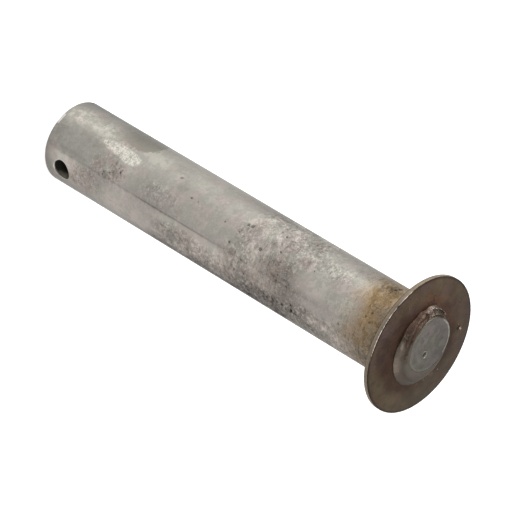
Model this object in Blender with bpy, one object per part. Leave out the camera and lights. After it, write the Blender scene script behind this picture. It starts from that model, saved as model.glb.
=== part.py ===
"""Lift cylinder pin: a drilled round shank with a washer welded on as its head.

The pin stands on its plain end. The origin is the middle of the plain end's face, +Z runs
along the shank towards the head, and the cross hole runs along X.
"""

import math

import bmesh
import bpy

MM = 0.001

# Shank
SHANK_DIAMETER = 31.75 * MM
GRIP_LENGTH = 173.6 * MM
END_CHAMFER = 1.2 * MM
SHOULDER_CHAMFER = 0.5 * MM

# Cross hole for the retaining pin, with the high sides of its mouths deburred
HOLE_DIAMETER = 7.94 * MM
HOLE_FROM_END = 9.4 * MM
HOLE_DEBURR = 0.35 * MM

# Stub on the shank's end, which passes through the washer and stands a little off centre
SHOULDER_WIDTH = 5.2 * MM
STUB_PROUD = 3.2 * MM
STUB_EDGE_RADIUS = 0.4 * MM
STUB_OFFSET = 2.6 * MM
STUB_BEARING = math.radians(215)

# Washer
WASHER_DIAMETER = 53.3 * MM
WASHER_THICKNESS = 2.0 * MM
WASHER_FACE_EDGE = 0.25 * MM
WASHER_BACK_EDGE = 0.5 * MM
WASHER_OFFSET = 0.74 * MM
WASHER_BEARING = math.radians(220)
BORE_CLEARANCE = 0.5 * MM

# Weld bead round the stub, wide and full on one side, and lean on the other
WELD_WIDTH = 6.7 * MM
WELD_OVER_STUB = 0.3 * MM
WELD_TOE_THICKNESS = 0.15 * MM
WELD_FULL_BEARING = math.radians(60)
WELD_FULL_ROUNDING = 2.3
WELD_LEAN_ROUNDING = 1.15

# Bearings about the stub in degrees, each with the bead's share of its greatest width there
WIDTH_STATIONS = (
    (11, 0.75), (24, 0.84), (39, 0.93), (52, 0.98), (66, 1.00), (90, 0.93), (115, 0.78), (140, 0.57),
    (165, 0.36), (190, 0.22), (209, 0.28), (225, 0.36), (238, 0.48), (248, 0.48), (257, 0.34),
    (264, 0.22), (276, 0.39), (288, 0.36), (304, 0.43), (316, 0.42), (328, 0.39), (341, 0.54),
    (356, 0.66),
)
# The same for its height against the stub
HEIGHT_STATIONS = (
    (0, 0.92), (60, 0.90), (110, 0.88), (140, 0.74), (175, 0.49), (215, 0.46), (235, 0.54),
    (262, 0.69), (280, 0.86), (300, 1.00), (342, 1.00),
)

# Lump with a crater where the weld was started: its raised lip, and its hollow as a share
CRATER_BEARING = math.radians(241)
CRATER_SPREAD = math.radians(15)
CRATER_MIDDLE = 0.42
CRATER_REACH = 0.55
CRATER_LIP_HEIGHT = 0.8 * MM
CRATER_LIP_WIDTH = 0.32
CRATER_HOLLOW = 0.55

# Shallow groove between the two runs of the weld, where the second one stopped
GROOVE_BEARING = math.radians(327)
GROOVE_SPREAD = math.radians(17)
GROOVE_MIDDLE = 0.34
GROOVE_REACH = 0.22
GROOVE_HOLLOW = 0.24

# Spatter drop on the washer
SPATTER_DIAMETER = 1.7 * MM
SPATTER_INSET = 5.4 * MM
SPATTER_BEARING = math.radians(166)

# Gap kept between pieces that touch
SEAT_GAP = 0.3 * MM

# Fineness
ROUND_STEPS = 96
CORNER_STEPS = 4
WELD_STEPS = 180
CROWN_STEPS = 12

# Sizes that follow from the ones above
SHANK_RADIUS = SHANK_DIAMETER / 2
STUB_RADIUS = SHANK_RADIUS - SHOULDER_WIDTH
WASHER_FACE = GRIP_LENGTH + WASHER_THICKNESS
WELD_HEIGHT = STUB_PROUD + WELD_OVER_STUB
STUB_TOP = WASHER_FACE + STUB_PROUD
STUB_X = STUB_OFFSET * math.cos(STUB_BEARING)
STUB_Y = STUB_OFFSET * math.sin(STUB_BEARING)
WASHER_X = WASHER_OFFSET * math.cos(WASHER_BEARING)
WASHER_Y = WASHER_OFFSET * math.sin(WASHER_BEARING)


def clear_scene():
    """Remove whatever the scene holds."""
    for obj in list(bpy.data.objects):
        bpy.data.objects.remove(obj, do_unlink=True)


def metal(name, colour, roughness):
    """A bare steel surface of one colour."""
    material = bpy.data.materials.new(name)
    material.use_nodes = True
    shader = material.node_tree.nodes["Principled BSDF"]
    shader.inputs["Base Color"].default_value = (*colour, 1.0)
    shader.inputs["Roughness"].default_value = roughness
    shader.inputs["Metallic"].default_value = 1.0
    material.diffuse_color = (*colour, 1.0)
    return material


def finish_object(name, shape, material=None, sharp_angle=math.radians(30)):
    """Turn a bmesh into a smooth-shaded object, with its faces pointing out."""
    bmesh.ops.recalc_face_normals(shape, faces=shape.faces)
    mesh = bpy.data.meshes.new(name)
    shape.to_mesh(mesh)
    shape.free()
    mesh.shade_smooth()
    mesh.set_sharp_from_angle(angle=sharp_angle)
    if material:
        mesh.materials.append(material)
    obj = bpy.data.objects.new(name, mesh)
    bpy.context.collection.objects.link(obj)
    return obj


def corner(radius, height, size, start, end):
    """Points of a rounded corner about (radius, height), as (radius, height) pairs."""
    points = []
    for step in range(CORNER_STEPS + 1):
        angle = math.radians(start + (end - start) * step / CORNER_STEPS)
        points.append((radius + size * math.cos(angle), height + size * math.sin(angle)))
    return points


def lathe(name, profile, material=None):
    """A solid turned about Z from (radius, height) pairs that start and end on the axis."""
    shape = bmesh.new()
    verts = [shape.verts.new((radius, 0, height)) for radius, height in profile]
    edges = [shape.edges.new(pair) for pair in zip(verts, verts[1:])]
    bmesh.ops.spin(shape, geom=verts + edges, cent=(0, 0, 0), axis=(0, 0, 1),
                   angle=math.tau, steps=ROUND_STEPS, use_merge=True)
    bmesh.ops.remove_doubles(shape, verts=shape.verts, dist=0.001 * MM)
    return finish_object(name, shape, material)


def combine(obj, tool, operation):
    """Add a live Boolean, and keep its tool as a wire guide."""
    modifier = obj.modifiers.new(tool.name, "BOOLEAN")
    modifier.operation = operation
    modifier.solver = "EXACT"
    modifier.object = tool
    tool.hide_render = True
    tool.display_type = "WIRE"


def make_hole_cutter():
    """The cross hole's cutter: a bar along X, with a cone that only reaches the mouths' high sides."""
    hole_radius = HOLE_DIAMETER / 2
    cone_start = SHANK_RADIUS - HOLE_DEBURR
    reach = SHANK_RADIUS + HOLE_DIAMETER / 2
    mouth_radius = hole_radius + reach - cone_start
    cutter = lathe("cross_hole_cutter", [
        (0, reach),
        (mouth_radius, reach),
        (hole_radius, cone_start),
        (hole_radius, -cone_start),
        (mouth_radius, -reach),
        (0, -reach),
    ])
    cutter.rotation_euler = (0, math.pi / 2, 0)
    cutter.location = (0, 0, HOLE_FROM_END)
    return cutter


def make_stub():
    """The stub that passes through the washer, with its end's edge rounded over."""
    root = GRIP_LENGTH - STUB_PROUD
    edge = corner(STUB_RADIUS - STUB_EDGE_RADIUS, STUB_TOP - STUB_EDGE_RADIUS, STUB_EDGE_RADIUS, 90, 0)
    stub = lathe("stub_form", [(0, STUB_TOP), *edge, (STUB_RADIUS, root), (0, root)])
    stub.location = (STUB_X, STUB_Y, 0)
    return stub


def make_shank(material):
    """The turned bar, drilled across near its plain end."""
    shank = lathe("shank", [
        (0, GRIP_LENGTH),
        (SHANK_RADIUS - SHOULDER_CHAMFER, GRIP_LENGTH),
        (SHANK_RADIUS, GRIP_LENGTH - SHOULDER_CHAMFER),
        (SHANK_RADIUS, END_CHAMFER),
        (SHANK_RADIUS - END_CHAMFER, 0),
        (0, 0),
    ], material)
    combine(shank, make_stub(), "UNION")
    combine(shank, make_hole_cutter(), "DIFFERENCE")
    return shank


def make_washer(material):
    """The blanked washer: crisp outside edge, rolled edge on the shank's side, spatter on its face.

    A shallow seat in its back keeps the washer clear of the shank's shoulder.
    """
    rim = WASHER_DIAMETER / 2
    rolled = corner(rim - WASHER_BACK_EDGE, GRIP_LENGTH + WASHER_BACK_EDGE, WASHER_BACK_EDGE, 0, -90)
    washer = lathe("head_washer", [
        (0, WASHER_FACE),
        (rim - WASHER_FACE_EDGE, WASHER_FACE),
        (rim, WASHER_FACE - WASHER_FACE_EDGE),
        *rolled,
        (0, GRIP_LENGTH),
    ], material)
    washer.location = (WASHER_X, WASHER_Y, 0)

    bore_radius = STUB_RADIUS + BORE_CLEARANCE
    bore = lathe("washer_bore_cutter", [
        (0, STUB_TOP),
        (bore_radius, STUB_TOP),
        (bore_radius, GRIP_LENGTH - BORE_CLEARANCE),
        (0, GRIP_LENGTH - BORE_CLEARANCE),
    ])
    bore.location = (STUB_X, STUB_Y, 0)

    seat_radius = SHANK_RADIUS + SEAT_GAP
    seat = lathe("shoulder_seat_cutter", [
        (0, GRIP_LENGTH + SEAT_GAP),
        (seat_radius, GRIP_LENGTH + SEAT_GAP),
        (seat_radius, GRIP_LENGTH - SEAT_GAP),
        (0, GRIP_LENGTH - SEAT_GAP),
    ])
    combine(washer, seat, "DIFFERENCE")
    combine(washer, bore, "DIFFERENCE")
    combine(washer, make_spatter(), "UNION")
    return washer


def make_spatter():
    """A drop of spatter, sunk by half into the washer's face."""
    shape = bmesh.new()
    bmesh.ops.create_icosphere(shape, subdivisions=2, radius=SPATTER_DIAMETER / 2)
    drop = finish_object("spatter_form", shape)
    reach = WASHER_DIAMETER / 2 - SPATTER_INSET
    drop.location = (
        WASHER_X + reach * math.cos(SPATTER_BEARING),
        WASHER_Y + reach * math.sin(SPATTER_BEARING),
        WASHER_FACE,
    )
    return drop


def turn_between(angle, bearing):
    """The signed turn from a bearing to an angle, between minus and plus half a turn."""
    return (angle - bearing + math.pi) % math.tau - math.pi


def side_share(angle, bearing):
    """How far an angle lies to the side of a bearing: 1 on it, 0 opposite."""
    return (1 + math.cos(angle - bearing)) / 2


def bell(offset, width):
    """A smooth bump of height 1 at no offset."""
    return math.exp(-((offset / width) ** 2))


def along_bead(stations, angle):
    """The bead's share at an angle, on a smooth closed curve through its stations."""
    for index, (start, first) in enumerate(stations):
        ahead = index + 1 - len(stations)
        end, second = stations[ahead]
        gap = (end - start) % 360
        part = (math.degrees(angle) - start) % 360 / gap
        if part < 1:
            break
    before, earlier = stations[index - 1]
    after, later = stations[ahead + 1]
    leave = (second - earlier) * gap / ((end - before) % 360)
    arrive = (later - first) * gap / ((after - start) % 360)
    eased = part * part * (3 - 2 * part)
    bend = leave * part * (1 - part) ** 2 - arrive * part * part * (1 - part)
    return first + (second - first) * eased + bend


def crater_distance(angle, share):
    """How far a spot lies from the crater's middle: 1 on its lip."""
    turn = turn_between(angle, CRATER_BEARING)
    return math.hypot(turn / CRATER_SPREAD, (share - CRATER_MIDDLE) / CRATER_REACH)


def groove_depth(angle, share):
    """How far a spot lies in the groove between the two runs: 1 at its deepest."""
    turn = turn_between(angle, GROOVE_BEARING)
    return bell(turn, GROOVE_SPREAD) * bell(share - GROOVE_MIDDLE, GROOVE_REACH)


def crown_height(angle, share):
    """The bead's height over the washer, from the stub at share 0 to the toe at share 1."""
    full = side_share(angle, WELD_FULL_BEARING)
    rounding = WELD_LEAN_ROUNDING + (WELD_FULL_ROUNDING - WELD_LEAN_ROUNDING) * full
    rise = (1 - share ** rounding) ** (1 / rounding)
    rise *= 1 - GROOVE_HOLLOW * groove_depth(angle, share)
    distance = crater_distance(angle, share)
    rise *= 1 - CRATER_HOLLOW * bell(distance, 1 - CRATER_LIP_WIDTH)
    lip = CRATER_LIP_HEIGHT * bell(distance - 1, CRATER_LIP_WIDTH) * share
    toe = SEAT_GAP + WELD_TOE_THICKNESS
    return toe + (WELD_HEIGHT * along_bead(HEIGHT_STATIONS, angle) - toe) * rise + lip


def weld_section(angle):
    """The bead's section at an angle round the stub, as (radius, height) pairs."""
    inner = STUB_RADIUS + SEAT_GAP
    toe = STUB_RADIUS + WELD_WIDTH * along_bead(WIDTH_STATIONS, angle)
    base = WASHER_FACE + SEAT_GAP
    section = [(inner, base)]
    for step in range(CROWN_STEPS + 1):
        share = math.sin(math.pi / 2 * step / CROWN_STEPS)
        section.append((inner + (toe - inner) * share, WASHER_FACE + crown_height(angle, share)))
    section.append((toe, base))
    return section


def make_weld(material):
    """The weld bead: its section carried round the stub, with its crater and its groove."""
    shape = bmesh.new()
    rings = []
    for step in range(WELD_STEPS):
        angle = math.tau * step / WELD_STEPS
        ring = []
        for radius, height in weld_section(angle):
            x = STUB_X + radius * math.cos(angle)
            y = STUB_Y + radius * math.sin(angle)
            ring.append(shape.verts.new((x, y, height)))
        rings.append(ring)
    for ring, following in zip(rings, rings[1:] + rings[:1]):
        for low in range(len(ring)):
            high = (low + 1) % len(ring)
            shape.faces.new((ring[low], ring[high], following[high], following[low]))
    return finish_object("weld_bead", shape, material, math.radians(50))


def main():
    clear_scene()
    make_shank(metal("ground_steel", (0.42, 0.39, 0.36), 0.38))
    make_washer(metal("heat_browned_steel", (0.13, 0.10, 0.08), 0.50))
    make_weld(metal("weld_metal", (0.22, 0.19, 0.16), 0.48))


main()
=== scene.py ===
"""Lift cylinder pin: the finished look of a drilled steel pin with a washer welded on as its head.

The pin stands on its plain end, with the shank's axis on Z. Bearings are turned about Z from +X,
and the shank's photographed side faces VIEW_BEARING. Sizes are in metres, written as numbers of MM.
"""

import math

import bmesh
import bpy
from bpy.props import FloatProperty, FloatVectorProperty, PointerProperty
from mathutils import Matrix, Vector, noise


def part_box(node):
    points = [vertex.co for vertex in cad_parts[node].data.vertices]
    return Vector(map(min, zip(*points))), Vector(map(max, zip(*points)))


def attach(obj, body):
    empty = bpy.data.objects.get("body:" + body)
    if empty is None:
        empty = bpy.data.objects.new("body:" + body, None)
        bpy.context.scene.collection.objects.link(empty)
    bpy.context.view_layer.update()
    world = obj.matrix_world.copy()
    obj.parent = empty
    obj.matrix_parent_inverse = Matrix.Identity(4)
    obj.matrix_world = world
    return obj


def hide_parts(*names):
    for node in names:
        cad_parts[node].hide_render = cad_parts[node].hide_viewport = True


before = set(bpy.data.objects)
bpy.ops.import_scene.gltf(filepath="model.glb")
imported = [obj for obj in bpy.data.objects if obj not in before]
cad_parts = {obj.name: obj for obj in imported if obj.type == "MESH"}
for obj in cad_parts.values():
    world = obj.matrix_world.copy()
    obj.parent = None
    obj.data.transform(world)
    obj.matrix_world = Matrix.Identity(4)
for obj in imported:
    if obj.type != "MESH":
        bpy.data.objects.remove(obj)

bl_info = {
    "name": "Lift Cylinder Pin",
    "version": (1, 0, 0),
    "blender": (4, 5, 0),
    "location": "3D View > Sidebar > Pin",
    "description": "Builds a worn lift cylinder pin with a welded washer head",
    "category": "Add Mesh",
}

MM = 0.001

_, SHANK_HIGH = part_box("shank")
WASHER_LOW, WASHER_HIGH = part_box("head_washer")

SHANK_RADIUS = SHANK_HIGH.x
GRIP_LENGTH = WASHER_LOW.z
STUB_TOP = SHANK_HIGH.z
WASHER_RADIUS = (WASHER_HIGH.x - WASHER_LOW.x) / 2
WASHER_THICKNESS = 2.0 * MM
WASHER_FACE = GRIP_LENGTH + WASHER_THICKNESS
WASHER_CENTRE = ((WASHER_HIGH.x + WASHER_LOW.x) / 2, (WASHER_HIGH.y + WASHER_LOW.y) / 2)

# The stub's place on the shank, and the side that the photograph shows
STUB_OFFSET = 2.6 * MM
STUB_BEARING = math.radians(215)
STUB_CENTRE = (STUB_OFFSET * math.cos(STUB_BEARING), STUB_OFFSET * math.sin(STUB_BEARING))
VIEW_BEARING = math.radians(310.3)

PUNCH_CENTRE = (STUB_CENTRE[0] + 2.75 * MM, STUB_CENTRE[1] + 2.9 * MM)

# Places on the shank: heights in millimetres, and a turn in degrees from the side that shows
HOLE_HEIGHT = 9.4
SCAB_BELT = 114
SEAM_TURN = 22.3

ROUND_STEPS = 256
CLOSE = 0.01 * MM
WORN_EDGE = 0.15 * MM
OVERLAP = 1 * MM


def length(name, description, default):
    """A property that holds a length."""
    return FloatProperty(name=name, description=description, default=default, min=0.0,
                         unit="LENGTH", subtype="DISTANCE", precision=5)


def angle(name, description, default):
    """A property that holds an angle, given in degrees."""
    return FloatProperty(name=name, description=description, default=math.radians(default),
                         unit="ROTATION", subtype="ANGLE")


def colour(name, description, default):
    """A property that holds a colour."""
    return FloatVectorProperty(name=name, description=description, default=default, size=3,
                               min=0.0, max=1.0, subtype="COLOR")


class ShankSettings(bpy.types.PropertyGroup):
    radius: length("Radius", "Radius of the shank", SHANK_RADIUS)
    grip: length("Grip", "Length from the plain end to the washer", GRIP_LENGTH)
    chamfer: length("End chamfer", "Chamfer of the plain end", 1.2 * MM)
    shoulder: length("Shoulder chamfer", "Chamfer under the washer", 0.5 * MM)
    hole: length("Hole", "Radius of the cross hole", 3.97 * MM)
    hole_height: length("Hole height", "Height of the cross hole's axis", HOLE_HEIGHT * MM)
    deburr: length("Deburr", "Chamfer of the hole's mouths", 0.25 * MM)
    stub_radius: length("Stub", "Radius of the stub through the washer", 10.675 * MM)
    stub_edge: length("Stub edge", "Rounding of the stub's edge", 0.4 * MM)
    punch: length("Punch mark", "Radius of the punch mark in the stub's end", 1.1 * MM)
    steel: colour("Ground steel", "Colour of the shank's bare steel", (0.327, 0.314, 0.280))
    blush: colour("Warm steel", "Colour of the shank's warmer patches", (0.350, 0.315, 0.288))
    stain: colour("Stain", "Colour of the shank's brown stains", (0.170, 0.136, 0.117))
    tint: colour("Heat tint", "Colour that the welding heat left under the head", (0.255, 0.180, 0.102))
    cut_face: colour("Cut face", "Colour of the stub's end", (0.147, 0.138, 0.119))
    cut_blush: colour("Cut face patches", "Colour of the stub end's redder patches",
                      (0.150, 0.132, 0.124))


class WasherSettings(bpy.types.PropertyGroup):
    radius: length("Radius", "Radius of the washer", WASHER_RADIUS)
    thickness: length("Thickness", "Thickness of the washer", WASHER_THICKNESS)
    face_edge: length("Face edge", "Chamfer of the outer face's edge", 0.22 * MM)
    back_edge: length("Back edge", "Rounding of the back face's edge", 0.5 * MM)
    spatter: length("Spatter", "Radius of the largest drop of spatter", 0.85 * MM)
    brown: colour("Browned steel", "Colour of the washer's oxide", (0.098, 0.066, 0.044))
    olive: colour("Straw oxide", "Colour of the oxide's yellower patches", (0.106, 0.080, 0.049))
    plum: colour("Plum oxide", "Colour of the oxide's redder patches", (0.092, 0.061, 0.053))
    rim: colour("Rim", "Colour of the washer's outer edge", (0.215, 0.172, 0.128))
    scorch: colour("Scorched steel", "Colour of the oxide near the weld", (0.058, 0.031, 0.020))


class WeldSettings(bpy.types.PropertyGroup):
    heavy: angle("Heavy side", "Bearing of the heavy side", 60)
    metal: colour("Weld metal", "Colour of the weld near the stub", (0.130, 0.115, 0.091))
    toe: colour("Weld toe", "Colour of the weld's outer band", (0.158, 0.126, 0.102))
    rust: colour("Rusty weld", "Colour of the weld's rough side", (0.060, 0.036, 0.026))
    # The bright weld colour is a painted highlight on the bead's ridges
    bright: colour("Bright weld", "Colour of the weld's rubbed ridges", (0.300, 0.245, 0.215))


class StageSettings(bpy.types.PropertyGroup):
    lens: FloatProperty(name="Lens", description="Focal length in mm", default=259.81)
    bearing: angle("Bearing", "Bearing from which the camera looks", -49.8174)
    elevation: angle("Elevation", "Height from which the camera looks", 33.9165)
    roll: angle("Roll", "Turn of the camera about its axis", 121.0626)
    distance: length("Distance", "From the camera to the point that it looks at", 1.3412)
    target: FloatVectorProperty(name="Target", description="The point that the camera looks at",
                                default=(0.00174, 0.00147, 0.09807), unit="LENGTH")


def deselect_all():
    """Leave nothing selected, so that an operator acts on its own piece alone."""
    bpy.ops.object.select_all(action="DESELECT")


def take(*pieces):
    """Select these pieces alone, with the first one active."""
    deselect_all()
    for piece in pieces:
        piece.select_set(True)
    bpy.context.view_layer.objects.active = pieces[0]


def add(operator, name, **options):
    """Add a plain shape by its operator, and name it; its place goes into its mesh."""
    deselect_all()
    operator(**options)
    piece = bpy.context.object
    piece.name = name
    piece.data.name = name
    bpy.ops.object.transform_apply(location=True, rotation=True, scale=True)
    return piece


def begin_edit(piece, mode="EDGE"):
    """Open a piece for editing, with nothing in it selected."""
    take(piece)
    bpy.ops.object.mode_set(mode="EDIT")
    bpy.ops.mesh.select_mode(type=mode)
    bpy.ops.mesh.select_all(action="DESELECT")
    return bmesh.from_edit_mesh(piece.data)


def end_edit(piece):
    """Close a piece's editing, and point its faces outwards."""
    bpy.ops.mesh.select_all(action="SELECT")
    bpy.ops.mesh.normals_make_consistent(inside=False)
    bpy.ops.object.mode_set(mode="OBJECT")
    return piece


def bevel_ring(piece, height, radius, size, segments, centre=(0, 0)):
    """Bevel the ring of edges at a height and a radius."""
    shape = begin_edit(piece)
    for edge in shape.edges:
        rounds = [math.hypot(v.co.x - centre[0], v.co.y - centre[1]) for v in edge.verts]
        at_height = all(abs(v.co.z - height) < CLOSE for v in edge.verts)
        edge.select = at_height and all(abs(r - radius) < CLOSE for r in rounds)
    bpy.ops.mesh.bevel(offset=size, segments=segments, affect="EDGES")
    return end_edit(piece)


def add_bar(name, radius, low, high, centre=(0, 0)):
    """A round bar that stands on Z, with its place in its mesh."""
    return add(bpy.ops.mesh.primitive_cylinder_add, name, vertices=ROUND_STEPS, radius=radius,
               depth=high - low, location=(*centre, (low + high) / 2))


def cut_or_join(piece, tool, operation):
    """Apply a Boolean and remove its tool."""
    take(piece)
    modifier = piece.modifiers.new(tool.name, "BOOLEAN")
    modifier.operation = operation
    modifier.solver = "EXACT"
    modifier.object = tool
    bpy.ops.object.modifier_apply(modifier=modifier.name)
    bpy.data.objects.remove(tool, do_unlink=True)


def finish_piece(piece, material, node, sharp=30):
    """Shade a piece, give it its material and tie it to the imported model."""
    take(piece)
    bpy.ops.object.shade_smooth_by_angle(angle=math.radians(sharp))
    piece.data.materials.clear()
    piece.data.materials.append(material)
    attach(piece, "root")
    if node:
        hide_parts(node)


def turn_between(first, second):
    """The signed turn from one bearing to another, between minus and plus half a turn."""
    return (first - second + math.pi) % math.tau - math.pi


def side_share(first, second):
    """How far a bearing lies to the side of another: 1 on it, 0 opposite."""
    return (1 + math.cos(first - second)) / 2


def bell(offset, width):
    """A smooth bump of height 1 at no offset."""
    return math.exp(-((offset / width) ** 2))


def round_about(centre, reach, bearing):
    """The point at a reach and a bearing from a centre."""
    return centre[0] + reach * math.cos(bearing), centre[1] + reach * math.sin(bearing)


def direction(bearing, elevation):
    """The unit vector that points to a bearing and an elevation."""
    return Vector((*round_about((0, 0), math.cos(elevation), bearing), math.sin(elevation)))


class Field:
    """A socket that carries a number, so that shader maths is written as arithmetic."""

    def __init__(self, finish, socket):
        self.finish = finish
        self.socket = socket

    def maths(self, operation, first, second=0.0):
        node = self.finish.node("ShaderNodeMath", {"operation": operation}, {0: first, 1: second})
        return Field(self.finish, node.outputs[0])

    def __add__(self, other):
        return self.maths("ADD", self, other)

    def __radd__(self, other):
        return self.maths("ADD", other, self)

    def __sub__(self, other):
        return self.maths("SUBTRACT", self, other)

    def __rsub__(self, other):
        return self.maths("SUBTRACT", other, self)

    def __mul__(self, other):
        return self.maths("MULTIPLY", self, other)

    def __rmul__(self, other):
        return self.maths("MULTIPLY", other, self)

    def __truediv__(self, other):
        return self.maths("DIVIDE", self, other)

    def __pow__(self, other):
        return self.maths("POWER", self, other)

    def __abs__(self):
        return self.maths("ABSOLUTE", self)

    def over(self, other):
        return self.maths("MAXIMUM", self, other)

    def under(self, other):
        return self.maths("MINIMUM", self, other)

    def hypot(self, other):
        """The length of a step whose two sides are this field and another."""
        return self.maths("SQRT", self ** 2 + other ** 2)

    def rise(self, low, high):
        """0 below low, 1 above high, and smooth between them; low may be the larger."""
        node = self.finish.node("ShaderNodeMapRange", {"interpolation_type": "SMOOTHSTEP"},
                                {"Value": self, "From Min": low, "From Max": high})
        return Field(self.finish, node.outputs["Result"])


class Finish:
    """The nodes of a material or a world under construction."""

    def __init__(self, holder):
        holder.use_nodes = True
        self.holder = holder
        self.tree = holder.node_tree

    def node(self, kind, settings=None, values=None):
        """Add a node: its settings first, then the values or links of its sockets."""
        made = self.tree.nodes.new(kind)
        for key, value in (settings or {}).items():
            setattr(made, key, value)
        return self.feed(made, values or {})

    def feed(self, node, values):
        """Give a node's sockets their values or links."""
        for key, value in values.items():
            socket = node.inputs[key]
            if isinstance(value, Field):
                self.tree.links.new(value.socket, socket)
            elif isinstance(value, bpy.types.NodeSocket):
                self.tree.links.new(value, socket)
            elif socket.type == "RGBA" and len(value) == 3:
                socket.default_value = (*value, 1.0)
            else:
                socket.default_value = value
        return node

    def place(self, centre=(0, 0), turn=0.0, stretch=(1, 1, 1)):
        """Object coordinates in millimetres, centred, turned about Z and stretched."""
        source = self.node("ShaderNodeTexCoord").outputs["Object"]
        node = self.node("ShaderNodeMapping", {"vector_type": "TEXTURE"}, {
            "Vector": source,
            "Location": (*centre, 0.0),
            "Rotation": (0.0, 0.0, turn),
            "Scale": tuple(MM * amount for amount in stretch),
        })
        return node.outputs["Vector"]

    def polar(self, centre=(0, 0), turn=VIEW_BEARING):
        """A place, with its x, y, height, distance from its centre and turn in degrees."""
        place = self.place(centre, turn)
        node = self.node("ShaderNodeSeparateXYZ", None, {"Vector": place})
        x, y, height = [Field(self, socket) for socket in node.outputs]
        bearing = x.maths("ARCTAN2", y, x)
        return place, x, y, height, x.hypot(y), bearing * math.degrees(1)

    def cloud(self, place, size, seed, detail, rough):
        """Noise about 0, mostly within 1 of it, with features of a size in millimetres."""
        node = self.node("ShaderNodeTexNoise", {"noise_dimensions": "4D"}, {
            "Vector": place, "W": seed, "Scale": 1.0 / size, "Detail": detail, "Roughness": rough})
        return (Field(self, node.outputs["Fac"]) - 0.5) * 5

    def attribute(self, name):
        """A number that a piece carries on its points."""
        node = self.node("ShaderNodeAttribute", {"attribute_name": name})
        return Field(self, node.outputs["Fac"])

    def cells(self, place, size, seed):
        """Distance from the middles of scattered cells, in shares of their size."""
        node = self.node("ShaderNodeTexVoronoi", {"voronoi_dimensions": "4D"},
                         {"Vector": place, "W": seed, "Scale": 1.0 / size})
        return Field(self, node.outputs["Distance"])

    def blend(self, amount, first, second):
        """A colour between two, by a field."""
        node = self.node("ShaderNodeMix", {"data_type": "RGBA"}, {0: amount, 6: first, 7: second})
        return node.outputs[2]

    def shade(self, tone, amount):
        """A colour made lighter or darker by a field."""
        node = self.node("ShaderNodeVectorMath", {"operation": "SCALE"}, {0: tone, "Scale": amount})
        return node.outputs[0]

    def surface(self, tone, roughness, relief, metallic=1.0, tint=(1, 1, 1)):
        """Feed the shader: colour, roughness, a relief in millimetres and the sheen's tint."""
        bump = self.node("ShaderNodeBump", None, {"Distance": MM, "Height": relief})
        self.feed(self.tree.nodes["Principled BSDF"], {
            "Base Color": tone, "Roughness": roughness, "Metallic": metallic,
            "Specular Tint": tint, "Normal": bump.outputs["Normal"]})
        return self.holder


def new_finish(name):
    """The nodes of a new material."""
    return Finish(bpy.data.materials.new(name))


class Coat:
    """A colour that is built up in layers."""

    def __init__(self, finish, base):
        self.finish = finish
        self.colour = base

    def lay(self, amount, colour, tone=None):
        """Lay a colour over it by a field; a tone makes that colour lighter or darker first."""
        if tone is not None:
            colour = self.finish.shade(colour, tone)
        self.colour = self.finish.blend(amount, self.colour, colour)

    def shade(self, amount):
        """Make it lighter or darker by a field."""
        self.colour = self.finish.shade(self.colour, amount)


def patch(height, turn, wobble, middle, across, reach, spread, soft):
    """An oval mark on the shank: middle height and turn, half sizes in mm and degrees."""
    distance = ((height - middle) / reach).hypot((turn - across) / spread)
    return (distance + wobble).rise(1 + soft, 1 - soft)


# Marks on the shank's photographed side: stains and polish, and painted light as well. The lighter marks
# near a turn of -35 degrees are a painted sheen; the darker marks at the shank's edges and just under
# the washer are painted shade and the washer's painted shadow. Each has its height in mm, its turn from
# the middle of that side in degrees, its half height, its half spread, the softness of its edge and its
# strength
LIGHT_MARKS_AND_SHEEN = (
    (7, -37, 9, 13, 0.3, 0.24), (19, -33, 7, 9, 0.3, 0.22), (11, -36, 16, 18, 0.9, 0.36),
    (44, -32, 14, 16, 0.8, 0.18), (56, -42, 16, 18, 0.4, 0.12), (37, 4, 10, 18, 0.8, 0.14),
    (86, -34, 30, 15, 0.6, 0.09), (103, -33, 9, 12, 0.5, 0.16), (130, -18, 10, 8, 0.5, 0.05),
    (135, 2, 7, 15, 0.2, 0.10), (113, 10, 9, 28, 0.6, 0.24), (148, 6, 14, 26, 0.8, 0.15),
    (157, -30, 8, 12, 0.7, 0.10), (78, 30, 22, 6, 0.5, 0.10), (88, 44, 11, 18, 0.5, 0.22),
    (38, 58, 22, 14, 0.8, 0.20), (11, 34, 8, 14, 0.5, 0.28), (147, 52, 9, 8, 0.5, 0.14),
    (156, -2, 7, 26, 0.8, 0.26), (132, 34, 5, 9, 0.5, 0.14), (93, 66, 6, 9, 0.5, 0.26),
)
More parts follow.
